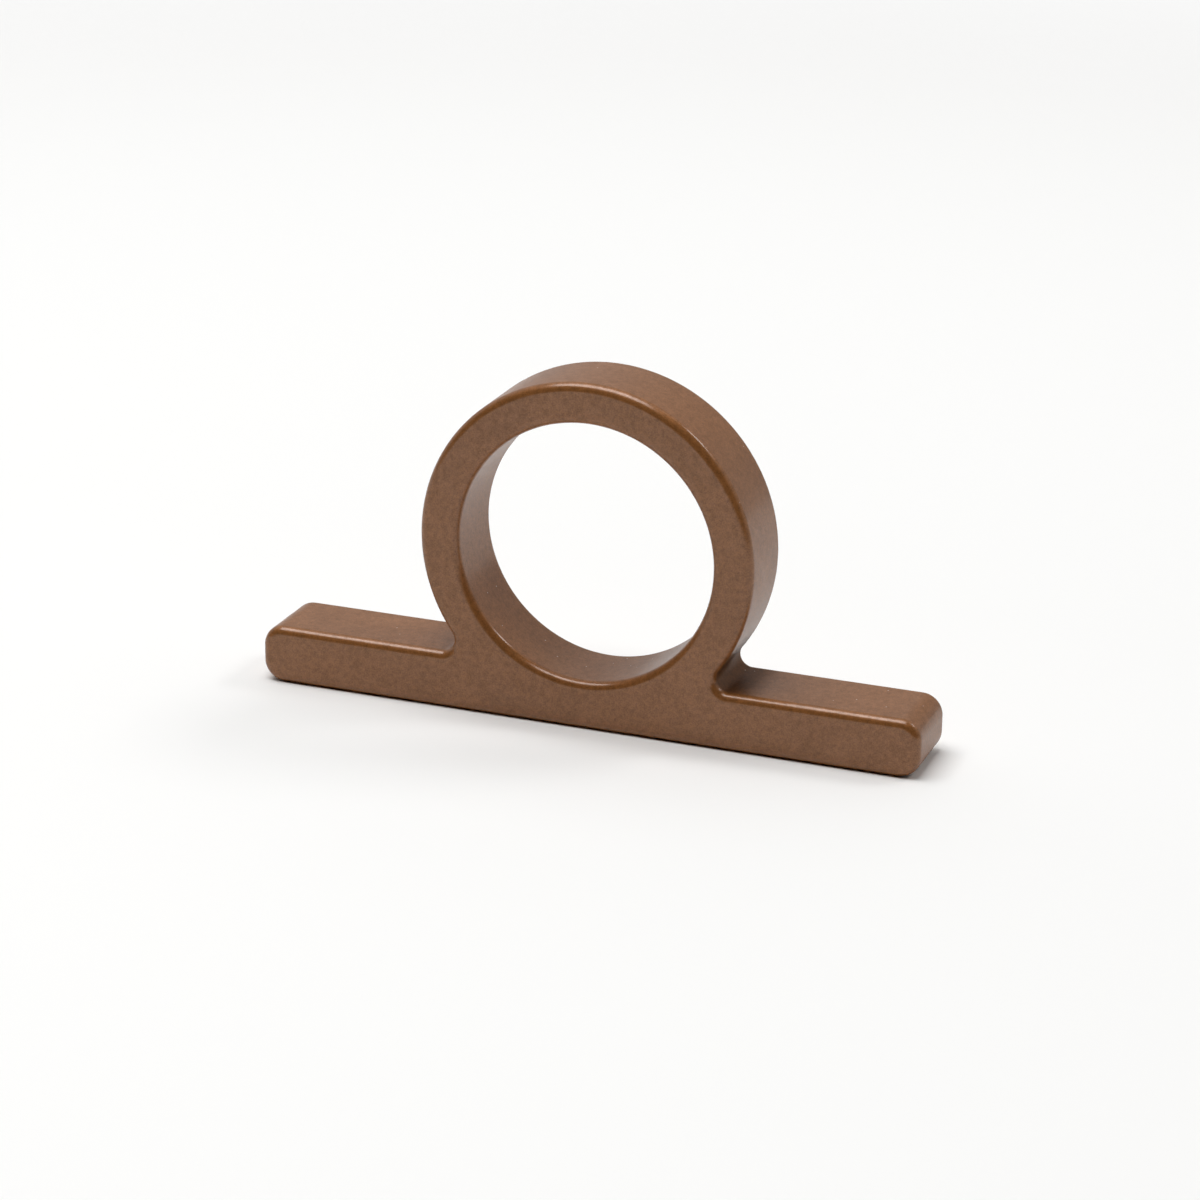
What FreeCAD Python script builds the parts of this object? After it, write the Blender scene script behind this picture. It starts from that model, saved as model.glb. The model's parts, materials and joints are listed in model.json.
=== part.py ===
import FreeCAD, Part
import math
import os
import Sketcher

# Ring pull handle for a drawer or a cabinet door.
# One casting: a short straight bar that lies along X on its flat base, and a flat
# finger ring that grows out of the middle of the bar. The ring is exactly as deep as
# the bar, so both show one unbroken face to the front and one to the back.
# Origin: middle of the base. X runs along the bar, Y from front to back, Z upward.

NODE = "pull_handle"

# Every size in millimetres.
SIZES = (
    ("screw_spacing", 64.0, "distance between the two screw centres"),
    ("screw_end_margin", 8.0, "from a screw centre to the nearer end of the bar"),
    ("bar_height", 6.85, "from the base to the top of the bar"),
    ("handle_depth", 10.25, "from the front face to the back face"),
    ("end_corner_radius", 2.5, "upper and lower corners of the bar's two ends"),
    ("finger_bore_radius", 15.25, "opening that a finger goes through"),
    ("ring_wall", 4.75, "width of the ring between its bore and its outside"),
    ("ring_rise", 1.0, "from the base to the lowest point of the ring's outside"),
    ("foot_blend_radius", 1.5, "hollow where the ring's outside meets the bar"),
    ("rim_round_radius", 1.0, "round along every front and back edge"),
    ("core_hole_diameter", 3.3, "cast hole that is tapped for an M4 screw"),
    ("core_hole_roof", 1.1, "metal left between the end of a hole and the bar's top"),
)

SAME = 1e-4


def add_size_sheet(document):
    """Writes each size into a row of its own and names its cell."""
    sheet = document.addObject("Spreadsheet::Sheet", "Sizes")
    for row, (name, value, meaning) in enumerate(SIZES, start=1):
        sheet.set(f"A{row}", name)
        sheet.set(f"B{row}", str(value))
        sheet.set(f"C{row}", meaning)
        sheet.setAlias(f"B{row}", name)
    document.recompute()
    return sheet


def add_sketch(body, name, plane_role):
    """Adds an empty sketch on one of the body's own origin planes."""
    sketch = body.newObject("Sketcher::SketchObject", name)
    planes = [plane for plane in body.Origin.OriginFeatures if plane.Role == plane_role]
    sketch.AttachmentSupport = [(planes[0], "")]
    sketch.MapMode = "FlatFace"
    return sketch


def drive(sketch, constraint, name, expression):
    """Adds a named constraint and ties it to the size sheet."""
    index = sketch.addConstraint(constraint)
    sketch.renameConstraint(index, name)
    sketch.setExpression(f"Constraints.{name}", expression)


def add_bar_sketch(body, bar_end, bar_height):
    """Side view of the bar: a rectangle that stands on the base, centred on the origin."""
    sketch = add_sketch(body, "BarOutline", "XZ_Plane")
    corners = [(-bar_end, 0.0), (bar_end, 0.0), (bar_end, bar_height), (-bar_end, bar_height)]
    points = [FreeCAD.Vector(x, z, 0.0) for x, z in corners]
    for start, end in zip(points, points[1:] + points[:1]):
        sketch.addGeometry(Part.LineSegment(start, end), False)
    base, right_end, upper, left_end = range(4)
    for line, following in ((base, right_end), (right_end, upper), (upper, left_end), (left_end, base)):
        sketch.addConstraint(Sketcher.Constraint("Coincident", line, 2, following, 1))
    for line in (base, upper):
        sketch.addConstraint(Sketcher.Constraint("Horizontal", line))
    for line in (right_end, left_end):
        sketch.addConstraint(Sketcher.Constraint("Vertical", line))
    sketch.addConstraint(Sketcher.Constraint("Symmetric", base, 1, base, 2, -1, 1))
    length = Sketcher.Constraint("DistanceX", base, 1, base, 2, 2 * bar_end)
    drive(sketch, length, "bar_length", "Sizes.screw_spacing + 2 * Sizes.screw_end_margin")
    height = Sketcher.Constraint("DistanceY", right_end, 1, right_end, 2, bar_height)
    drive(sketch, height, "bar_height", "Sizes.bar_height")
    return sketch


def add_circle_sketch(body, name, ring_centre, radius, radius_expression):
    """One circle about the ring's centre, which stands above the middle of the bar."""
    sketch = add_sketch(body, name, "XZ_Plane")
    centre = FreeCAD.Vector(0.0, ring_centre, 0.0)
    circle = sketch.addGeometry(Part.Circle(centre, FreeCAD.Vector(0, 0, 1), radius), False)
    sketch.addConstraint(Sketcher.Constraint("PointOnObject", circle, 3, -2))
    rise = Sketcher.Constraint("DistanceY", -1, 1, circle, 3, ring_centre)
    drive(sketch, rise, "centre_height", "Sizes.ring_rise + Sizes.ring_wall + Sizes.finger_bore_radius")
    size = Sketcher.Constraint("Radius", circle, radius)
    drive(sketch, size, "radius", radius_expression)
    return sketch


def add_pad(body, name, sketch):
    """Gives a side view the handle's depth, half to the front and half to the back."""
    pad = body.newObject("PartDesign::Pad", name)
    pad.Profile = sketch
    pad.SideType = "Symmetric"
    pad.setExpression("Length", "Sizes.handle_depth")
    return pad


def add_bore(body, sketch):
    """Opens the ring from front to back. The bore also dips into the bar's top."""
    bore = body.newObject("PartDesign::Pocket", "FingerBore")
    bore.Profile = sketch
    bore.Type = "ThroughAll"
    bore.SideType = "Symmetric"
    return bore


def depth_edges(shape, is_wanted):
    """Names the straight edges that run from front to back where is_wanted(x, z) holds."""
    names = []
    for number, edge in enumerate(shape.Edges, start=1):
        first, last = edge.Vertexes[0].Point, edge.Vertexes[-1].Point
        runs_in_depth = abs(first.x - last.x) < SAME and abs(first.z - last.z) < SAME
        if runs_in_depth and abs(first.y - last.y) > SAME and is_wanted(first.x, first.z):
            names.append(f"Edge{number}")
    return names


def rim_edges(shape, half_depth):
    """Names the edges that lie wholly in the front face's plane or in the back face's."""
    names = []
    for number, edge in enumerate(shape.Edges, start=1):
        box = edge.BoundBox
        if abs(abs(box.YMin) - half_depth) < SAME and box.YLength < SAME:
            names.append(f"Edge{number}")
    return names


def add_fillet(body, name, base, edges, radius_expression):
    """Rounds the named edges of the feature before it."""
    fillet = body.newObject("PartDesign::Fillet", name)
    fillet.Base = (base, edges)
    fillet.setExpression("Radius", radius_expression)
    body.Document.recompute()
    return fillet


def add_screw_sketch(body, reach, radius):
    """Two circles on the base, one under each arm of the bar."""
    sketch = add_sketch(body, "ScrewCentres", "XY_Plane")
    for x in (-reach, reach):
        centre = FreeCAD.Vector(x, 0.0, 0.0)
        sketch.addGeometry(Part.Circle(centre, FreeCAD.Vector(0, 0, 1), radius), False)
    left, right = 0, 1
    sketch.addConstraint(Sketcher.Constraint("Symmetric", left, 3, right, 3, -1, 1))
    sketch.addConstraint(Sketcher.Constraint("PointOnObject", right, 3, -1))
    sketch.addConstraint(Sketcher.Constraint("Equal", left, right))
    spacing = Sketcher.Constraint("DistanceX", left, 3, right, 3, 2 * reach)
    drive(sketch, spacing, "screw_spacing", "Sizes.screw_spacing")
    width = Sketcher.Constraint("Diameter", right, 2 * radius)
    drive(sketch, width, "core_hole_diameter", "Sizes.core_hole_diameter")
    return sketch


def add_screw_holes(body, sketch):
    """Blind holes that a core pin leaves: straight up from the base, with a flat end."""
    holes = body.newObject("PartDesign::Pocket", "ScrewHoles")
    holes.Profile = sketch
    holes.Reversed = True
    holes.setExpression("Length", "Sizes.bar_height - Sizes.core_hole_roof")
    body.Document.recompute()
    return holes


def build_handle(document, sheet):
    """Builds the casting as bar, ring and bore, then its blends, then its screw holes."""
    body = document.addObject("PartDesign::Body", "PullHandle")
    body.Label = NODE
    screw_reach = sheet.screw_spacing / 2
    bar_end = screw_reach + sheet.screw_end_margin
    ring_outside = sheet.finger_bore_radius + sheet.ring_wall
    ring_centre = sheet.ring_rise + ring_outside

    add_pad(body, "Bar", add_bar_sketch(body, bar_end, sheet.bar_height))
    outside = "Sizes.finger_bore_radius + Sizes.ring_wall"
    ring = add_circle_sketch(body, "RingOutline", ring_centre, ring_outside, outside)
    add_pad(body, "RingDisc", ring)
    inside = "Sizes.finger_bore_radius"
    opening = add_circle_sketch(body, "BoreOutline", ring_centre, sheet.finger_bore_radius, inside)
    bore = add_bore(body, opening)
    document.recompute()

    ends = depth_edges(bore.Shape, lambda x, z: abs(abs(x) - bar_end) < SAME)
    corners = add_fillet(body, "EndCorners", bore, ends, "Sizes.end_corner_radius")
    feet = depth_edges(
        corners.Shape, lambda x, z: abs(math.hypot(x, z - ring_centre) - ring_outside) < SAME
    )
    blends = add_fillet(body, "FootBlends", corners, feet, "Sizes.foot_blend_radius")
    rims = rim_edges(blends.Shape, sheet.handle_depth / 2)
    rounds = add_fillet(body, "RimRounds", blends, rims, "Sizes.rim_round_radius")

    screws = add_screw_sketch(body, screw_reach, sheet.core_hole_diameter / 2)
    holes = add_screw_holes(body, screws)
    removed = rounds.Shape.Volume - holes.Shape.Volume
    print(f"two screw holes took {removed:.1f} mm3, {holes.Shape.Volume:.1f} mm3 is left")
    return body


def check(document, body):
    """Stops unless every feature was computed and the casting is one sound solid."""
    for item in document.Objects:
        if "Invalid" in item.State or "Error" in item.State:
            raise RuntimeError(f"{item.Label} failed: {item.State}")
    shape = body.Shape
    if shape.isNull() or not shape.isValid() or len(shape.Solids) != 1:
        raise RuntimeError(f"{body.Label} isn't one valid solid")


def main():
    document = FreeCAD.newDocument("RingPullHandle")
    sheet = add_size_sheet(document)
    body = build_handle(document, sheet)
    document.recompute()
    check(document, body)
    os.makedirs("parts", exist_ok=True)
    body.Shape.exportStep(f"parts/{body.Label}.step")


main()
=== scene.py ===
import json
import math

import bpy
import bmesh
from bpy.props import FloatProperty, FloatVectorProperty, IntProperty, PointerProperty
from mathutils import Matrix, Vector


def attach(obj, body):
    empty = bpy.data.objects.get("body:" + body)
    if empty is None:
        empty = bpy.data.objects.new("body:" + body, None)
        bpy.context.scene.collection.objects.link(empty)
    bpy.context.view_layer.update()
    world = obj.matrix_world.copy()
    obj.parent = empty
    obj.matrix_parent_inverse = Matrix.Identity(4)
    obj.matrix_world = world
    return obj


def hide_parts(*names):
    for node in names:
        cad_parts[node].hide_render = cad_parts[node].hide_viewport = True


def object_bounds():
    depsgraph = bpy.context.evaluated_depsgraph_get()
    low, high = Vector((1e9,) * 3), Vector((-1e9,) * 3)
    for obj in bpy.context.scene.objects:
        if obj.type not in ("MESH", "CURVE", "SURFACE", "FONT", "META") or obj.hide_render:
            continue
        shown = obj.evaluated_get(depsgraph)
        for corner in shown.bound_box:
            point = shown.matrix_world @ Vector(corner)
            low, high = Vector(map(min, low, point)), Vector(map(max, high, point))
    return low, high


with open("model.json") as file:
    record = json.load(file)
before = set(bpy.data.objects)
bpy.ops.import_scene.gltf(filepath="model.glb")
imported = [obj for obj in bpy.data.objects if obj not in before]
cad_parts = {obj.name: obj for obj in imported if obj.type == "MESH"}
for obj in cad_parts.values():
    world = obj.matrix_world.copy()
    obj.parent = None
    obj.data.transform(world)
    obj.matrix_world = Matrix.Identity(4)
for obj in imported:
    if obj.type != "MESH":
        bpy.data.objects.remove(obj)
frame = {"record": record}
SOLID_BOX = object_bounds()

bl_info = {
    "name": "Ring Pull Handle",
    "version": (1, 0, 0),
    "blender": (4, 5, 0),
    "location": "View3D > Sidebar > Pull Handle",
    "description": "Cast drawer pull with a finger ring, in bronze lacquer, on a pale table",
    "category": "Add Mesh",
}

# The handle stands on its base at Z = 0. X runs along its bar and Y from front to back.
NODE = "pull_handle"
FINISH = "satin_bronze_lacquer"
SOLID_LOW, SOLID_HIGH = SOLID_BOX
BAR_LENGTH = SOLID_HIGH.x - SOLID_LOW.x
DEPTH = SOLID_HIGH.y - SOLID_LOW.y
RING_TOP = SOLID_HIGH.z
SCREWS = next(mount for mount in frame["record"]["mounts"] if mount["name"] == "screw_holes")
SCREW_SPACING = SCREWS["dims"]["spacing_x_mm"] / 1000
CORE_RADIUS = SCREWS["dims"]["hole_r_mm"] / 1000

# How finely the meshes are made.
LARGEST_TURN = math.radians(5)  # from one step of an outline to the next
CRISP_ANGLE = math.radians(35)  # an edge that bends by more stays crisp
FLAT_LIP_SHARE = 1 / 20  # flat lip beyond each rim round, in radii of the round
HOLE_SIDES = 64
THREAD_STEPS = 48  # in each turn of the thread
SEAM_GAP = 1e-6  # points of touching surfaces that lie nearer are one point
DOUBLE_GAP = 1e-7  # points of one mesh that lie nearer are one point

# The thread's ridge, in parts of its pitch.
RIDGE_ROOT, RIDGE_CREST = 7 / 8, 1 / 4
THREAD_START = 0.6  # from the base to the middle of the ridge's first turn
RIDGE_SUNK = 0.05  # share of the ridge's height that lies inside the hole's wall

# The values of a noise between which a ramp over it runs, and the same for the grains' shade.
NOISE_LOW, NOISE_HIGH = 0.35, 0.65
GRAIN_LOW, GRAIN_HIGH = 0.3, 0.7

SENSOR_WIDTH = 36.0  # of the camera, in millimetres


class CastingSizes(bpy.types.PropertyGroup):
    """Sizes of the casting that its box doesn't give."""
    bar_height: FloatProperty(
        name="Bar Height", description="From the base to the top of the bar",
        default=0.00685, unit="LENGTH", precision=5)
    bore_radius: FloatProperty(
        name="Bore Radius", description="Opening that a finger goes through",
        default=0.01525, unit="LENGTH", precision=5)
    ring_wall: FloatProperty(
        name="Ring Wall", description="Width of the ring between its bore and its outside",
        default=0.00475, unit="LENGTH", precision=5)
    end_corner: FloatProperty(
        name="End Corner", description="Radius of the corners at the bar's two ends",
        default=0.0025, unit="LENGTH", precision=5)
    foot_blend: FloatProperty(
        name="Foot Blend", description="Radius of the hollow where the ring meets the bar",
        default=0.0015, unit="LENGTH", precision=5)
    rim_round: FloatProperty(
        name="Rim Round", description="Radius along every front and back edge",
        default=0.001, unit="LENGTH", precision=5)
    rim_steps: IntProperty(
        name="Rim Steps", description="Strips across each round", default=12, min=4)
    chord: FloatProperty(
        name="Chord", description="Longest straight step along a curved outline",
        default=0.0003, unit="LENGTH", precision=5)


class ThreadSizes(bpy.types.PropertyGroup):
    """Sizes of the M4 thread in the two blind holes."""
    major_radius: FloatProperty(
        name="Major Radius", description="Radius at the bottom of the thread's groove",
        default=0.002, unit="LENGTH", precision=5)
    pitch: FloatProperty(
        name="Pitch", description="Rise of the thread in one turn",
        default=0.0007, unit="LENGTH", precision=5)
    threaded_depth: FloatProperty(
        name="Threaded Depth", description="How far up from the base the thread is cut",
        default=0.0046, unit="LENGTH", precision=5)
    hole_depth: FloatProperty(
        name="Hole Depth", description="From the base to the flat end of the hole",
        default=0.00575, unit="LENGTH", precision=5)
    mouth_radius: FloatProperty(
        name="Mouth Radius", description="Radius of the small chamfer at the base",
        default=0.00225, unit="LENGTH", precision=5)


class LacquerLook(bpy.types.PropertyGroup):
    """Colour and surface of the lacquer, and the shade painted at the ring's right foot."""
    pigment: FloatVectorProperty(
        name="Pigment", description="Brown of the lacquer where it lies thick",
        subtype="COLOR", size=3, min=0, max=1, default=(0.241, 0.0915, 0.0230))
    thin_pigment: FloatVectorProperty(
        name="Thin Pigment", description="Brown where the lacquer lies a little thinner",
        subtype="COLOR", size=3, min=0, max=1, default=(0.268, 0.104, 0.0282))
    metallic: FloatProperty(
        name="Metallic", description="Share of the metal pigment in the lacquer",
        subtype="FACTOR", min=0, max=1, default=0.3)
    roughness: FloatProperty(
        name="Roughness", description="How widely the metal pigment spreads a reflection",
        subtype="FACTOR", min=0, max=1, default=0.5)
    film_roughness: FloatProperty(
        name="Film Roughness", description="How widely the clear film over it spreads one",
        subtype="FACTOR", min=0, max=1, default=0.2)
    film_weight: FloatProperty(
        name="Film Weight", description="How much of the clear film there is",
        subtype="FACTOR", min=0, max=1, default=0.42)
    film_unevenness: FloatProperty(
        name="Film Unevenness", description="How much that varies from grain to grain",
        subtype="FACTOR", min=0, max=1, default=0.2)
    film_ior: FloatProperty(
        name="Film Index", description="Refractive index of the clear film",
        min=1, default=1.9)
    body_gloss: FloatProperty(
        name="Body Gloss", description="Strength of the reflection under the film",
        subtype="FACTOR", min=0, max=1, default=0.3)
    body_tint: FloatVectorProperty(
        name="Body Tint", description="Colour of the reflection under the film",
        subtype="COLOR", size=3, min=0, max=1, default=(0.38, 0.47, 0.52))
    cloud_scale: FloatProperty(
        name="Cloud Scale", description="Thicker and thinner patches in each metre",
        min=0, default=140.0)
    grain_size: FloatProperty(
        name="Grain Size", description="Distance between the grains of metal pigment",
        default=0.00017, unit="LENGTH", precision=5)
    grain_contrast: FloatProperty(
        name="Grain Contrast", description="How much lighter or darker a grain can be",
        subtype="FACTOR", min=0, max=1, default=0.32)
    grain_height: FloatProperty(
        name="Grain Height", description="How far the grains stand out",
        default=0.00002, unit="LENGTH", precision=6)
    grain_relief: FloatProperty(
        name="Grain Relief", description="How much of that height the light shows",
        subtype="FACTOR", min=0, max=1, default=0.5)
    # Painted shade at the ring's right foot: where the ring's shadow and dark reflection fall on
    # the bar top, the body is painted darker and the film duller.
    painted_shade_reach: FloatProperty(
        name="Painted Shade Reach", description="How far the pooled lacquer reaches, in hollow radii",
        min=1, default=3.2)
    painted_shade_strength: FloatProperty(
        name="Painted Shade Strength", description="How much darker the lacquer is where it has pooled",
        subtype="FACTOR", min=0, max=1, default=0.42)
    painted_shade_dulling: FloatProperty(
        name="Painted Shade Dulling", description="How much of the film's shine is lost there",
        subtype="FACTOR", min=0, max=1, default=0.95)
    speck_spacing: FloatProperty(
        name="Speck Spacing", description="Distance between the places where a speck can be",
        default=0.0012, unit="LENGTH", precision=5)
    speck_radius: FloatProperty(
        name="Speck Radius", description="Radius of the largest light speck",
        default=0.00009, unit="LENGTH", precision=5)
    speck_share: FloatProperty(
        name="Speck Share", description="Share of those places that have one",
        subtype="FACTOR", min=0, max=1, default=0.2)
    speck_colour: FloatVectorProperty(
        name="Speck Colour", description="Colour of the light specks",
        subtype="COLOR", size=3, min=0, max=1, default=(0.5, 0.36, 0.28))


class TableLook(bpy.types.PropertyGroup):
    """The table top, the three soft lamps over it and the room around it."""
    table_colour: FloatVectorProperty(
        name="Table Colour", description="Colour of the table top",
        subtype="COLOR", size=3, min=0, max=1, default=(0.926, 0.924, 0.914))
    far_gain: FloatProperty(
        name="Far Gain", description="How much paler the table top is at its far edge",
        min=1, default=1.1)
    table_roughness: FloatProperty(
        name="Table Roughness", description="How widely the table top spreads a reflection",
        subtype="FACTOR", min=0, max=1, default=0.8)
    table_gloss: FloatProperty(
        name="Table Gloss", description="Strength of the table top's reflection",
        subtype="FACTOR", min=0, max=1, default=0.2)
    table_reach: FloatProperty(
        name="Table Reach", description="From the handle to each edge of the table top",
        default=0.6, unit="LENGTH")
    left_lamp_power: FloatProperty(
        name="Left Lamp Power", description="Power of the lamp a little left of the handle",
        default=9.8, unit="POWER")
    left_lamp_size: FloatVectorProperty(
        name="Left Lamp Size", description="Width and depth of that lamp",
        subtype="XYZ", size=2, default=(0.85, 0.6))
    left_lamp_place: FloatVectorProperty(
        name="Left Lamp Place", description="Middle of that lamp",
        subtype="XYZ", size=3, default=(-0.24, -0.13, 1.0))
    back_lamp_power: FloatProperty(
        name="Back Lamp Power", description="Power of the lamp behind the handle",
        default=1.5, unit="POWER")
    back_lamp_size: FloatVectorProperty(
        name="Back Lamp Size", description="Width and depth of that lamp",
        subtype="XYZ", size=2, default=(1.2, 0.45))
    back_lamp_place: FloatVectorProperty(
        name="Back Lamp Place", description="Middle of that lamp",
        subtype="XYZ", size=3, default=(-0.15, 0.5, 1.0))
    right_lamp_power: FloatProperty(
        name="Right Lamp Power", description="Power of the lamp far to the right and behind",
        default=4.0, unit="POWER")
    right_lamp_size: FloatVectorProperty(
        name="Right Lamp Size", description="Width and depth of that lamp",
        subtype="XYZ", size=2, default=(0.4, 0.4))
    right_lamp_place: FloatVectorProperty(
        name="Right Lamp Place", description="Middle of that lamp",
        subtype="XYZ", size=3, default=(0.8, 0.6, 1.0))
    room_left: FloatProperty(
        name="Room Left", description="Brightness of the room behind and to the left",
        min=0, default=0.62)
    room_right: FloatProperty(
        name="Room Right", description="Brightness of the room behind and to the right",
        min=0, default=0.46)
    room_below: FloatProperty(
        name="Room Below", description="Brightness of the room under the table",
        min=0, default=0.8)


class CameraPlace(bpy.types.PropertyGroup):
    """Where the camera stands."""
    azimuth: FloatProperty(
        name="Azimuth", description="Turn from the front towards the right end",
        default=math.radians(20.255), unit="ROTATION")
    elevation: FloatProperty(
        name="Elevation", description="Height of the camera above the horizon",
        default=math.radians(20.087), unit="ROTATION")
    roll: FloatProperty(
        name="Roll", description="Tilt of the camera about its own line of sight",
        default=math.radians(0.942), unit="ROTATION")
    distance: FloatProperty(
        name="Distance", description="From the camera to the point it looks at",
        default=0.41852, unit="LENGTH", precision=5)
    target: FloatVectorProperty(
        name="Target", description="The point it looks at",
        subtype="XYZ", size=3, default=(0.00026, 0.0, 0.01402))
    lens: FloatProperty(
        name="Lens", description="Focal length on a sensor 36 mm wide",
        default=110.04, unit="CAMERA")


# Nodes that several trees use.
def new_tree(name, kind, inputs, outputs):
    """A node group with named sockets, and the sockets of its two end nodes."""
    tree = bpy.data.node_groups.new(name, kind)
    for label, socket_type in inputs:
        tree.interface.new_socket(label, in_out="INPUT", socket_type=socket_type)
    for label, socket_type in outputs:
        tree.interface.new_socket(label, in_out="OUTPUT", socket_type=socket_type)
    given = tree.nodes.new("NodeGroupInput").outputs
    result = tree.nodes.new("NodeGroupOutput").inputs
    return tree, given, result


def add(tree, kind, values=None, **settings):
    """Adds a node. A value is either a plain value or the socket that feeds it."""
    node = tree.nodes.new(kind)
    for name, setting in settings.items():
        setattr(node, name, setting)
    for key, value in (values or {}).items():
        if isinstance(value, bpy.types.NodeSocket):
            tree.links.new(value, node.inputs[key])
        else:
            node.inputs[key].default_value = value
    return node


def calc(tree, kind, operation, *values):
    """A math node's result."""
    node = add(tree, kind, dict(enumerate(values)), operation=operation)
    return node.outputs[0]


def field(tree, operation, *values):
    """A number worked out from one, two or three others."""
    return calc(tree, "ShaderNodeMath", operation, *values)


def vector(tree, x=0.0, y=0.0, z=0.0):
    """A vector from three numbers or sockets."""
    return add(tree, "ShaderNodeCombineXYZ", {"X": x, "Y": y, "Z": z}).outputs[0]


def split(tree, whole):
    """The X, Y and Z of a vector, as sockets to be picked by name."""
    return add(tree, "ShaderNodeSeparateXYZ", {"Vector": whole}).outputs


def length_of(tree, whole):
    """The length of a vector."""
    return add(tree, "ShaderNodeVectorMath", {0: whole}, operation="LENGTH").outputs["Value"]


def scaled(tree, whole, factor):
    """A vector or a colour times a number."""
    values = {0: whole, "Scale": factor}
    return add(tree, "ShaderNodeVectorMath", values, operation="SCALE").outputs[0]


def ramp(tree, value, start, end, low, high, kind="LINEAR"):
    """Goes from low to high while the value goes from start to end."""
    values = {"Value": value, "From Min": start, "From Max": end, "To Min": low, "To Max": high}
    return add(tree, "ShaderNodeMapRange", values, interpolation_type=kind).outputs[0]


def mixed(tree, share, first, second):
    """The first colour where the share is 0, and the second where it is 1."""
    values = {"Factor": share, "A": first, "B": second}
    return add(tree, "ShaderNodeMix", values, data_type="RGBA").outputs["Result"]


def moved(tree, geometry, x=0.0, y=0.0, z=0.0, turn=(0.0, 0.0, 0.0)):
    """Geometry turned about the origin and then moved."""
    return add(tree, "GeometryNodeTransform", {
        "Geometry": geometry, "Rotation": turn, "Translation": vector(tree, x, y, z)}).outputs[0]


def at_screw_holes(tree, geometry, spacing, height=0.0):
    """A copy of the geometry at each screw hole, at a height above the base."""
    left = vector(tree, x=field(tree, "MULTIPLY", spacing, -0.5), z=height)
    places = add(tree, "GeometryNodeMeshLine", {
        "Count": 2, "Start Location": left, "Offset": vector(tree, x=spacing)})
    copies = add(tree, "GeometryNodeInstanceOnPoints",
                 {"Points": places.outputs[0], "Instance": geometry})
    return add(tree, "GeometryNodeRealizeInstances", {"Geometry": copies.outputs[0]}).outputs[0]


def finish_tree(tree, geometry, material, result):
    """Ends a geometry tree: what it made becomes one mesh with its finish."""
    whole = add(tree, "GeometryNodeRealizeInstances", {"Geometry": geometry})
    finished = add(tree, "GeometryNodeSetMaterial",
                   {"Geometry": whole.outputs[0], "Material": material})
    tree.links.new(finished.outputs[0], result)


# Outline of the casting, seen from the front.
def arc(centre, radius, start, end, chord):
    """Points along an arc from one angle to the other, both ends included."""
    count = math.ceil(abs(end - start) * max(radius / chord, 1 / LARGEST_TURN))
    angles = [start + (end - start) * step / count for step in range(count + 1)]
    return [
        (centre[0] + radius * math.cos(angle), centre[1] + radius * math.sin(angle))
        for angle in angles
    ]


def foot_place(sizes):
    """Where the axis of the right foot's hollow runs, and the hollow's radius."""
    ring_outside = sizes.bore_radius + sizes.ring_wall
    foot_z = sizes.bar_height + sizes.foot_blend
    drop = RING_TOP - ring_outside - foot_z
    foot_x = math.sqrt((ring_outside + sizes.foot_blend) ** 2 - drop ** 2)
    return {"Foot X": foot_x, "Foot Z": foot_z, "Blend": sizes.foot_blend}


def outside_outline(sizes):
    """The bar with its rounded ends, the ring on top of it and the hollows at its feet."""
    ring_outside = sizes.bore_radius + sizes.ring_wall
    ring_centre = (0.0, RING_TOP - ring_outside)
    corner = sizes.end_corner
    corner_x = BAR_LENGTH / 2 - corner
    low, high = corner, sizes.bar_height - corner
    foot = foot_place(sizes)
    foot_x, foot_z = foot["Foot X"], foot["Foot Z"]
    lean = math.atan2(ring_centre[1] - foot_z, foot_x)
    quarter, half = math.pi / 2, math.pi

    points = []
    points += arc((corner_x, low), corner, -quarter, 0.0, sizes.chord)
    points += arc((corner_x, high), corner, 0.0, quarter, sizes.chord)
    points += arc((foot_x, foot_z), sizes.foot_blend, 3 * quarter, half - lean, sizes.chord)
    points += arc(ring_centre, ring_outside, -lean, half + lean, sizes.chord)[1:-1]
    points += arc((-foot_x, foot_z), sizes.foot_blend, lean, -quarter, sizes.chord)
    points += arc((-corner_x, high), corner, quarter, half, sizes.chord)
    points += arc((-corner_x, low), corner, half, 3 * quarter, sizes.chord)
    return points


def bore_outline(sizes):
    """The finger opening, drawn the other way round so that the metal is on the same side."""
    ring_centre = (0.0, RING_TOP - sizes.bore_radius - sizes.ring_wall)
    return arc(ring_centre, sizes.bore_radius, 2 * math.pi, 0.0, sizes.chord)[:-1]


def outline_object(name, outlines):
    """A curve object with one closed run of points for each outline, drawn in X and Y."""
    curve = bpy.data.curves.new(name, "CURVE")
    curve.dimensions = "3D"
    for outline in outlines:
        spline = curve.splines.new("POLY")
        spline.points.add(len(outline) - 1)
        for point, (x, y) in zip(spline.points, outline):
            point.co = (x, y, 0.0, 1.0)
        spline.use_cyclic_u = True
    made = bpy.data.objects.new(name, curve)
    bpy.context.scene.collection.objects.link(made)
    return made


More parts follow.
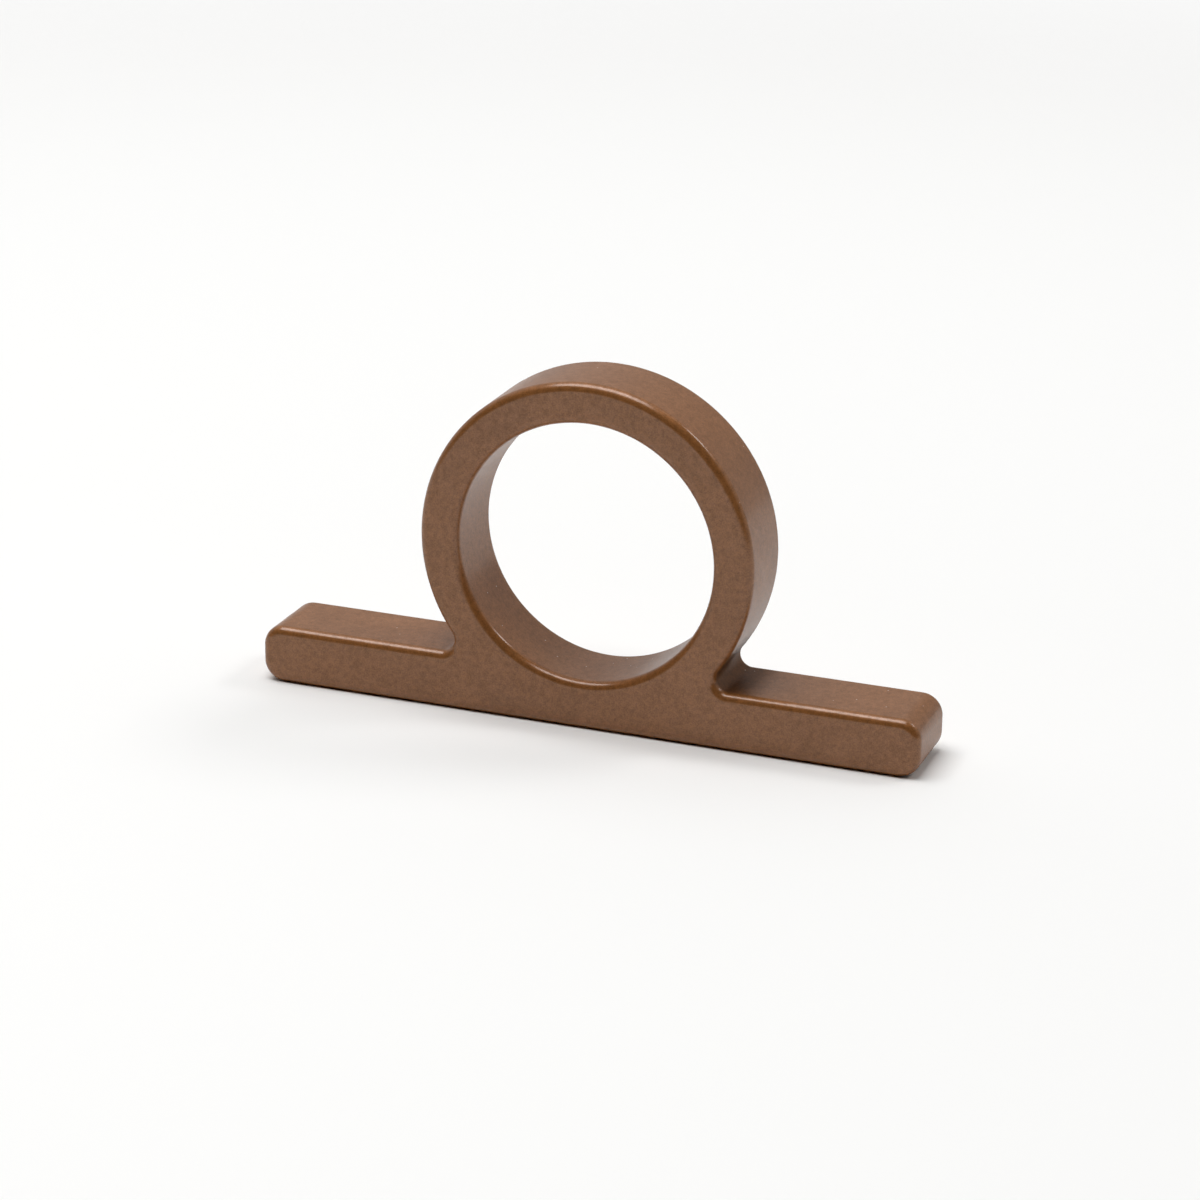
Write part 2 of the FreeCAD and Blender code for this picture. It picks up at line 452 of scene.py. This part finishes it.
def casting_tree():
    """Sweeps the rim's profile along the outlines, closes both faces and drills the base."""
    tree, given, result = new_tree(
        "Cast Handle", "GeometryNodeTree",
        [
            ("Outline", "NodeSocketGeometry"), ("Depth", "NodeSocketFloat"),
            ("Rim Round", "NodeSocketFloat"), ("Rim Steps", "NodeSocketInt"),
            ("Flat Lip", "NodeSocketFloat"), ("Screw Spacing", "NodeSocketFloat"),
            ("Hole Radius", "NodeSocketFloat"), ("Hole Depth", "NodeSocketFloat"),
            ("Mouth Radius", "NodeSocketFloat"), ("Finish", "NodeSocketMaterial"),
        ],
        [("Casting", "NodeSocketGeometry")])
    tree.is_modifier = True

    # The profile is a bracket: front lip, round, side wall, round, back lip.
    inset = field(tree, "ADD", given["Rim Round"], given["Flat Lip"])
    bracket = add(tree, "GeometryNodeCurvePrimitiveQuadrilateral",
                  {"Width": inset, "Height": given["Depth"]}, mode="RECTANGLE")
    bracket = add(tree, "GeometryNodeSetSplineCyclic",
                  {"Geometry": bracket.outputs[0], "Cyclic": False})
    bracket = moved(tree, bracket.outputs[0], x=field(tree, "MULTIPLY", inset, -0.5),
                    turn=(0.0, 0.0, math.pi))
    profile = add(tree, "GeometryNodeFilletCurve", {
        "Curve": bracket, "Radius": given["Rim Round"], "Count": given["Rim Steps"]}, mode="POLY")
    path = add(tree, "GeometryNodeSetCurveNormal", {"Curve": given["Outline"]}, mode="Z_UP")
    swept = add(tree, "GeometryNodeCurveToMesh", {
        "Curve": path.outputs[0], "Profile Curve": profile.outputs[0]})

    # The open edges in front, with one face each, bound the front face. The back face is its copy.
    neighbours = add(tree, "GeometryNodeInputMeshEdgeNeighbors").outputs[0]
    is_open = calc(tree, "FunctionNodeCompare", "LESS_THAN", neighbours, 2.0)
    place = add(tree, "GeometryNodeInputPosition").outputs[0]
    is_front = field(tree, "GREATER_THAN", split(tree, place)["Z"], 0.0)
    chosen = add(tree, "FunctionNodeBooleanMath", {0: is_open, 1: is_front}, operation="AND")
    loops = add(tree, "GeometryNodeMeshToCurve",
                {"Mesh": swept.outputs[0], "Selection": chosen.outputs[0]})
    face = add(tree, "GeometryNodeFillCurve", {"Curve": loops.outputs[0]}, mode="TRIANGLES")
    front = moved(tree, face.outputs[0], z=field(tree, "MULTIPLY", given["Depth"], 0.5))
    back = moved(tree, face.outputs[0], z=field(tree, "MULTIPLY", given["Depth"], -0.5))
    back = add(tree, "GeometryNodeFlipFaces", {"Mesh": back})
    shell = add(tree, "GeometryNodeJoinGeometry")
    for part in (swept.outputs[0], front, back.outputs[0]):
        tree.links.new(part, shell.inputs[0])
    closed = add(tree, "GeometryNodeMergeByDistance",
                 {"Geometry": shell.outputs[0], "Distance": SEAM_GAP})
    drilled = moved(tree, closed.outputs[0], turn=(math.pi / 2, 0.0, 0.0))

    # Two cutters stand on the base: the hole itself and the chamfer at its mouth.
    hole = add(tree, "GeometryNodeMeshCylinder", {
        "Vertices": HOLE_SIDES, "Radius": given["Hole Radius"],
        "Depth": field(tree, "MULTIPLY", given["Hole Depth"], 2.0)})
    overshoot = field(tree, "SUBTRACT", given["Mouth Radius"], given["Hole Radius"])
    mouth = add(tree, "GeometryNodeMeshCone", {
        "Vertices": HOLE_SIDES, "Radius Top": given["Hole Radius"],
        "Radius Bottom": field(tree, "ADD", given["Mouth Radius"], overshoot),
        "Depth": field(tree, "MULTIPLY", overshoot, 2.0)})
    mouth = moved(tree, mouth.outputs["Mesh"], z=field(tree, "MULTIPLY", overshoot, -1.0))
    for cutter in (hole.outputs["Mesh"], mouth):
        both = at_screw_holes(tree, cutter, given["Screw Spacing"])
        drilled = add(tree, "GeometryNodeMeshBoolean", {0: drilled, 1: both},
                      operation="DIFFERENCE", solver="EXACT").outputs[0]

    angle = add(tree, "GeometryNodeInputMeshEdgeAngle").outputs[0]
    is_crisp = field(tree, "GREATER_THAN", angle, CRISP_ANGLE)
    smooth = add(tree, "GeometryNodeSetShadeSmooth",
                 {"Geometry": drilled, "Shade Smooth": True}, domain="FACE")
    crisp = add(tree, "GeometryNodeSetShadeSmooth", {
        "Geometry": smooth.outputs[0], "Selection": is_crisp, "Shade Smooth": False},
        domain="EDGE")
    finish_tree(tree, crisp.outputs[0], given["Finish"], result["Casting"])
    return tree


def thread_tree():
    """Winds the thread's ridge up inside each hole."""
    tree, given, result = new_tree(
        "Tapped Thread", "GeometryNodeTree",
        [
            ("Geometry", "NodeSocketGeometry"), ("Screw Spacing", "NodeSocketFloat"),
            ("Major Radius", "NodeSocketFloat"), ("Core Radius", "NodeSocketFloat"),
            ("Pitch", "NodeSocketFloat"), ("Depth", "NodeSocketFloat"),
            ("Finish", "NodeSocketMaterial"),
        ],
        [("Threads", "NodeSocketGeometry")])
    tree.is_modifier = True
    ridge = field(tree, "SUBTRACT", given["Major Radius"], given["Core Radius"])
    helix = add(tree, "GeometryNodeCurveSpiral", {
        "Resolution": THREAD_STEPS,
        "Rotations": field(tree, "DIVIDE", given["Depth"], given["Pitch"]),
        "Start Radius": given["Major Radius"], "End Radius": given["Major Radius"],
        "Height": given["Depth"], "Reverse": True})
    path = add(tree, "GeometryNodeSetCurveNormal", {"Curve": helix.outputs[0]}, mode="Z_UP")
    form = add(tree, "GeometryNodeCurvePrimitiveQuadrilateral", {
        "Bottom Width": field(tree, "MULTIPLY", given["Pitch"], RIDGE_ROOT),
        "Top Width": field(tree, "MULTIPLY", given["Pitch"], RIDGE_CREST),
        "Offset": 0.0, "Height": ridge}, mode="TRAPEZOID")
    form = moved(tree, form.outputs[0], y=field(tree, "MULTIPLY", ridge, 0.5 - RIDGE_SUNK))
    form = moved(tree, form, turn=(0.0, 0.0, math.pi / 2))
    wound = add(tree, "GeometryNodeCurveToMesh", {
        "Curve": path.outputs[0], "Profile Curve": form, "Fill Caps": True})
    start = field(tree, "MULTIPLY", given["Pitch"], THREAD_START)
    both = at_screw_holes(tree, wound.outputs[0], given["Screw Spacing"], start)
    finish_tree(tree, both, given["Finish"], result["Threads"])
    return tree


def grow(name, source, tree, values):
    """Runs a geometry tree on an object and returns the result as a plain mesh object."""
    modifier = source.modifiers.new("Shape", "NODES")
    modifier.node_group = tree
    for item in tree.interface.items_tree:
        if item.item_type == "SOCKET" and item.in_out == "INPUT" and item.name in values:
            modifier[item.identifier] = values[item.name]
    graph = bpy.context.evaluated_depsgraph_get()
    mesh = bpy.data.meshes.new_from_object(source.evaluated_get(graph), depsgraph=graph)
    source.modifiers.remove(modifier)
    bpy.data.objects.remove(source)
    mesh.name = name
    made = bpy.data.objects.new(name, mesh)
    bpy.context.scene.collection.objects.link(made)
    return made


def face_outward(mesh):
    """Merges doubled points and turns every face of a closed mesh outward."""
    work = bmesh.new()
    work.from_mesh(mesh)
    bmesh.ops.remove_doubles(work, verts=work.verts, dist=DOUBLE_GAP)
    bmesh.ops.recalc_face_normals(work, faces=work.faces)
    work.to_mesh(mesh)
    work.free()


def settle_normals(made):
    """Lets the large flat faces rule the shading where they meet a narrow round."""
    modifier = made.modifiers.new("Even Shading", "WEIGHTED_NORMAL")
    modifier.mode = "FACE_AREA"
    modifier.weight = 100
    modifier.keep_sharp = True
    graph = bpy.context.evaluated_depsgraph_get()
    mesh = bpy.data.meshes.new_from_object(made.evaluated_get(graph), depsgraph=graph)
    made.modifiers.remove(modifier)
    made.data = mesh


# Finishes.
def grain_group():
    """Grains of metal pigment: a mask for each grain's shade, and the height it gives."""
    tree, given, result = new_tree(
        "Pigment Grain", "ShaderNodeTree",
        [("Size", "NodeSocketFloat")],
        [("Shade", "NodeSocketFloat"), ("Height", "NodeSocketFloat")])
    place = add(tree, "ShaderNodeTexCoord").outputs["Object"]
    fine_scale = field(tree, "DIVIDE", 1.0, given["Size"])
    fine = add(tree, "ShaderNodeTexNoise", {
        "Vector": place, "Scale": fine_scale, "Detail": 2.0, "Roughness": 0.6})
    coarse_share = 0.31
    coarse_scale = field(tree, "MULTIPLY", fine_scale, coarse_share)
    coarse = add(tree, "ShaderNodeTexNoise", {
        "Vector": place, "Scale": coarse_scale, "Detail": 2.0, "Roughness": 0.5})
    for label, fine_share in (("Shade", 0.6), ("Height", 0.3)):
        fine_part = field(tree, "MULTIPLY", fine.outputs[0], fine_share)
        both = field(tree, "MULTIPLY_ADD", coarse.outputs[0], 1.0 - fine_share, fine_part)
        tree.links.new(both, result[label])
    return tree


def side_share(tree, y, half_depth):
    """1 on the surfaces that run from front to back, and 0 on the front and back faces."""
    outward = field(tree, "DIVIDE", field(tree, "ABSOLUTE", y), half_depth)
    rim_start, rim_end = 0.78, 0.9
    return ramp(tree, outward, rim_start, rim_end, 1.0, 0.0)


def painted_foot_shade_group():
    """Mask for the shade painted at the ring's right foot, from 0 to 1: how near a point is to the
    hollow there.
    """
    tree, given, result = new_tree(
        "Painted Foot Shade", "ShaderNodeTree",
        [
            ("Foot X", "NodeSocketFloat"), ("Foot Z", "NodeSocketFloat"),
            ("Blend", "NodeSocketFloat"), ("Reach", "NodeSocketFloat"),
            ("Half Depth", "NodeSocketFloat"),
        ],
        [("Painted Shade", "NodeSocketFloat")])
    place = split(tree, add(tree, "ShaderNodeTexCoord").outputs["Object"])
    aside = field(tree, "SUBTRACT", place["X"], given["Foot X"])
    above = field(tree, "SUBTRACT", place["Z"], given["Foot Z"])
    away = length_of(tree, vector(tree, x=aside, y=above))
    away = field(tree, "DIVIDE", away, given["Blend"])
    darkened = ramp(tree, away, 1.0, given["Reach"], 1.0, 0.0, kind="SMOOTHSTEP")
    darkened = field(tree, "MULTIPLY", darkened, side_share(tree, place["Y"], given["Half Depth"]))
    tree.links.new(darkened, result["Painted Shade"])
    return tree


def speck_group():
    """A few light specks in the lacquer, as a mask."""
    tree, given, result = new_tree(
        "Light Specks", "ShaderNodeTree",
        [
            ("Spacing", "NodeSocketFloat"), ("Radius", "NodeSocketFloat"),
            ("Share", "NodeSocketFloat"), ("Half Depth", "NodeSocketFloat"),
        ],
        [("Speck", "NodeSocketFloat")])
    place = add(tree, "ShaderNodeTexCoord").outputs["Object"]
    scale = field(tree, "DIVIDE", 1.0, given["Spacing"])
    cells = add(tree, "ShaderNodeTexVoronoi", {"Vector": place, "Scale": scale})
    away = field(tree, "MULTIPLY", cells.outputs["Distance"], given["Spacing"])
    is_near = field(tree, "LESS_THAN", away, given["Radius"])
    chance = split(tree, cells.outputs["Color"])["X"]
    is_chosen = field(tree, "LESS_THAN", chance, given["Share"])
    speck = field(tree, "MULTIPLY", field(tree, "MULTIPLY", is_near, is_chosen),
                  side_share(tree, split(tree, place)["Y"], given["Half Depth"]))
    tree.links.new(speck, result["Speck"])
    return tree


def lacquer_material(look, sizes):
    """Brown lacquer with metal pigment: a satin body under a thin clear film."""
    material = bpy.data.materials.new(FINISH)
    material.use_nodes = True
    tree = material.node_tree
    surface = tree.nodes["Principled BSDF"].inputs

    # The body's colour: thicker and thinner lacquer, grains, painted shade at the ring's right
    # foot, and specks.
    place = add(tree, "ShaderNodeTexCoord").outputs["Object"]
    clouds = add(tree, "ShaderNodeTexNoise", {
        "Vector": place, "Scale": look.cloud_scale, "Detail": 3.0, "Roughness": 0.55})
    thin = ramp(tree, clouds.outputs[0], NOISE_LOW, NOISE_HIGH, 0.0, 1.0)
    body = mixed(tree, thin, (*look.pigment, 1.0), (*look.thin_pigment, 1.0))
    grain = add(tree, "ShaderNodeGroup", {"Size": look.grain_size},
                node_tree=grain_group()).outputs
    speckle = ramp(tree, grain["Shade"], GRAIN_LOW, GRAIN_HIGH,
                   1.0 - look.grain_contrast, 1.0 + look.grain_contrast)
    # Painted shade: the ring's shadow and its dark reflection on the bar top at its right foot
    # darken the body here.
    darkened = add(tree, "ShaderNodeGroup", {
        **foot_place(sizes), "Reach": look.painted_shade_reach, "Half Depth": DEPTH / 2},
        node_tree=painted_foot_shade_group()).outputs["Painted Shade"]
    dimmed = field(tree, "MULTIPLY_ADD", darkened, -look.painted_shade_strength, 1.0)
    colour = scaled(tree, body, field(tree, "MULTIPLY", speckle, dimmed))
    speck = add(tree, "ShaderNodeGroup", {
        "Spacing": look.speck_spacing, "Radius": look.speck_radius,
        "Share": look.speck_share, "Half Depth": DEPTH / 2},
        node_tree=speck_group()).outputs["Speck"]
    colour = mixed(tree, speck, colour, (*look.speck_colour, 1.0))
    tree.links.new(colour, surface["Base Color"])
    surface["Metallic"].default_value = look.metallic
    surface["Roughness"].default_value = look.roughness
    surface["Specular Tint"].default_value = (*look.body_tint, 1.0)
    surface["Specular IOR Level"].default_value = look.body_gloss

    # The clear film is a little uneven, and dulled at the ring's right foot: painted shade, where
    # the ring's shadow and dark reflection fall.
    film = ramp(tree, grain["Height"], NOISE_LOW, NOISE_HIGH,
                look.film_weight * (1.0 - look.film_unevenness),
                look.film_weight * (1.0 + look.film_unevenness))
    dulled = field(tree, "MULTIPLY_ADD", darkened, -look.painted_shade_dulling, 1.0)
    tree.links.new(field(tree, "MULTIPLY", film, dulled), surface["Coat Weight"])
    surface["Coat Roughness"].default_value = look.film_roughness
    surface["Coat IOR"].default_value = look.film_ior

    bump = add(tree, "ShaderNodeBump", {
        "Height": grain["Height"], "Strength": look.grain_relief, "Distance": look.grain_height})
    tree.links.new(bump.outputs[0], surface["Normal"])
    return material


def table_material(look):
    """Matt pale table top that fades out towards its edges. It can't be seen from below."""
    material = bpy.data.materials.new("pale_table")
    material.use_nodes = True
    tree = material.node_tree
    surface = tree.nodes["Principled BSDF"].inputs
    place = add(tree, "ShaderNodeTexCoord").outputs["Object"]
    near, far = 0.05, 0.45
    gain = ramp(tree, split(tree, place)["Y"], near, far, 1.0, look.far_gain)
    tree.links.new(scaled(tree, look.table_colour, gain), surface["Base Color"])
    fade_start, fade_end = look.table_reach * 0.55, look.table_reach * 0.97
    shown = ramp(tree, length_of(tree, place), fade_start, fade_end, 1.0, 0.0,
                 kind="SMOOTHSTEP")
    from_below = add(tree, "ShaderNodeNewGeometry").outputs["Backfacing"]
    from_above = field(tree, "SUBTRACT", 1.0, from_below)
    tree.links.new(field(tree, "MULTIPLY", shown, from_above), surface["Alpha"])
    surface["Roughness"].default_value = look.table_roughness
    surface["Specular IOR Level"].default_value = look.table_gloss
    return material


def table_mesh(reach, sizes):
    """A flat table top, left open exactly under the handle's flat base."""
    open_x = BAR_LENGTH / 2 - sizes.end_corner
    open_y = DEPTH / 2 - sizes.rim_round
    outside = [(-reach, -reach), (reach, -reach), (reach, reach), (-reach, reach)]
    inside = [(-open_x, -open_y), (open_x, -open_y), (open_x, open_y), (-open_x, open_y)]
    corners = [(x, y, 0.0) for x, y in outside + inside]
    sides = [(side, (side + 1) % 4, 4 + (side + 1) % 4, 4 + side) for side in range(4)]
    mesh = bpy.data.meshes.new("table")
    mesh.from_pydata(corners, [], sides)
    return mesh


def room_world(look):
    """The camera sees plain white. The handle sees a pale wall behind it, and pale from below."""
    world = bpy.data.worlds.new("Studio Room")
    world.use_nodes = True
    tree = world.node_tree
    way = split(tree, add(tree, "ShaderNodeTexCoord").outputs["Generated"])
    soft, eased = 0.3, "SMOOTHSTEP"
    wall = ramp(tree, way["X"], -soft, soft, look.room_left, look.room_right, eased)
    behind = ramp(tree, way["Y"], -soft, soft, 0.0, 1.0, eased)
    wall_top, ceiling = 0.6, 0.8
    under_ceiling = ramp(tree, way["Z"], wall_top, ceiling, 1.0, 0.0, eased)
    wall = field(tree, "MULTIPLY", field(tree, "MULTIPLY", wall, behind), under_ceiling)
    ground, table_edge = -0.2, -0.1
    below = ramp(tree, way["Z"], ground, table_edge, look.room_below, 0.0, eased)
    seen = add(tree, "ShaderNodeLightPath").outputs["Is Camera Ray"]
    strength = field(tree, "MAXIMUM", field(tree, "MAXIMUM", wall, below), seen)
    background = tree.nodes["Background"].inputs
    background["Color"].default_value = (1.0, 1.0, 1.0, 1.0)
    tree.links.new(strength, background["Strength"])
    return world


def hang_lamp(name, power, size, place):
    """A soft lamp that faces straight down."""
    lamp = bpy.data.lights.new(name, "AREA")
    lamp.shape = "RECTANGLE"
    lamp.size, lamp.size_y = size
    lamp.energy = power
    lamp_object = bpy.data.objects.new(name, lamp)
    lamp_object.location = place
    bpy.context.scene.collection.objects.link(lamp_object)


def aim_camera(place):
    """A camera that looks at the handle from the photo's place."""
    az, el, roll = place.azimuth, place.elevation, place.roll
    back = Vector((math.sin(az) * math.cos(el), -math.cos(az) * math.cos(el), math.sin(el)))
    level_right = Vector((math.cos(az), math.sin(az), 0.0))
    level_up = back.cross(level_right)
    right = level_right * math.cos(roll) + level_up * math.sin(roll)
    up = level_up * math.cos(roll) - level_right * math.sin(roll)
    camera = bpy.data.cameras.new("camera")
    camera.sensor_width = SENSOR_WIDTH
    camera.lens = place.lens
    camera.clip_start, camera.clip_end = 0.01, 20.0
    camera_object = bpy.data.objects.new("camera", camera)
    stand = Matrix((right, up, back)).transposed().to_4x4()
    stand.translation = Vector(place.target) + back * place.distance
    camera_object.matrix_world = stand
    bpy.context.scene.collection.objects.link(camera_object)
    return camera_object


class PULLHANDLE_OT_casting(bpy.types.Operator):
    """Build the casting: bar, ring, foot blends, rounded rims and screw holes"""
    bl_idname = "pullhandle.casting"
    bl_label = "Build Casting"

    def execute(self, context):
        sizes, thread = context.scene.casting_sizes, context.scene.thread_sizes
        outlines = [outside_outline(sizes), bore_outline(sizes)]
        source = outline_object("casting_outline", outlines)
        finish = lacquer_material(context.scene.lacquer_look, sizes)
        casting = grow("handle_casting", source, casting_tree(), {
            "Depth": DEPTH, "Rim Round": sizes.rim_round, "Rim Steps": sizes.rim_steps,
            "Flat Lip": sizes.rim_round * FLAT_LIP_SHARE, "Screw Spacing": SCREW_SPACING,
            "Hole Radius": thread.major_radius, "Hole Depth": thread.hole_depth,
            "Mouth Radius": thread.mouth_radius, "Finish": finish})
        face_outward(casting.data)
        settle_normals(casting)
        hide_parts(NODE)
        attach(casting, "root")
        return {"FINISHED"}


class PULLHANDLE_OT_threads(bpy.types.Operator):
    """Cut the M4 threads in the two blind holes"""
    bl_idname = "pullhandle.threads"
    bl_label = "Cut Threads"

    def execute(self, context):
        thread = context.scene.thread_sizes
        source = outline_object("thread_start", [])
        threads = grow("tapped_threads", source, thread_tree(), {
            "Screw Spacing": SCREW_SPACING, "Major Radius": thread.major_radius,
            "Core Radius": CORE_RADIUS, "Pitch": thread.pitch,
            "Depth": thread.threaded_depth, "Finish": bpy.data.materials[FINISH]})
        face_outward(threads.data)
        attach(threads, "root")
        return {"FINISHED"}


class PULLHANDLE_OT_table(bpy.types.Operator):
    """Set the table, the light and the camera"""
    bl_idname = "pullhandle.table"
    bl_label = "Set Table And Light"

    def execute(self, context):
        look = context.scene.table_look
        mesh = table_mesh(look.table_reach, context.scene.casting_sizes)
        mesh.materials.append(table_material(look))
        table = bpy.data.objects.new("table", mesh)
        context.scene.collection.objects.link(table)

        hang_lamp("left_lamp", look.left_lamp_power, look.left_lamp_size, look.left_lamp_place)
        hang_lamp("back_lamp", look.back_lamp_power, look.back_lamp_size, look.back_lamp_place)
        hang_lamp("right_lamp", look.right_lamp_power, look.right_lamp_size, look.right_lamp_place)
        context.scene.world = room_world(look)
        context.scene.view_settings.view_transform = "Standard"
        context.scene.camera = aim_camera(context.scene.camera_place)
        return {"FINISHED"}


class PULLHANDLE_PT_panel(bpy.types.Panel):
    """The handle's sizes and finishes, and the buttons that build it"""
    bl_idname = "PULLHANDLE_PT_panel"
    bl_label = "Ring Pull Handle"
    bl_space_type = "VIEW_3D"
    bl_region_type = "UI"
    bl_category = "Pull Handle"

    def draw(self, context):
        for group in PROPERTY_GROUPS:
            box = self.layout.box()
            for name in PROPERTY_GROUPS[group].__annotations__:
                box.prop(getattr(context.scene, group), name)
        for operator in OPERATORS:
            self.layout.operator(operator.bl_idname)


PROPERTY_GROUPS = {
    "casting_sizes": CastingSizes,
    "thread_sizes": ThreadSizes,
    "lacquer_look": LacquerLook,
    "table_look": TableLook,
    "camera_place": CameraPlace,
}
OPERATORS = (PULLHANDLE_OT_casting, PULLHANDLE_OT_threads, PULLHANDLE_OT_table)


def register():
    """Gives the scene its properties, and Blender the operators and the panel."""
    for name, group in PROPERTY_GROUPS.items():
        bpy.utils.register_class(group)
        setattr(bpy.types.Scene, name, PointerProperty(type=group))
    for item in (*OPERATORS, PULLHANDLE_PT_panel):
        bpy.utils.register_class(item)


def unregister():
    """Takes back all that register gave."""
    for item in reversed((*OPERATORS, PULLHANDLE_PT_panel)):
        bpy.utils.unregister_class(item)
    for name, group in reversed(PROPERTY_GROUPS.items()):
        delattr(bpy.types.Scene, name)
        bpy.utils.unregister_class(group)


def main():
    """Builds the handle and its table."""
    register()
    bpy.ops.pullhandle.casting()
    bpy.ops.pullhandle.threads()
    bpy.ops.pullhandle.table()


if __name__ == "__main__":
    main()
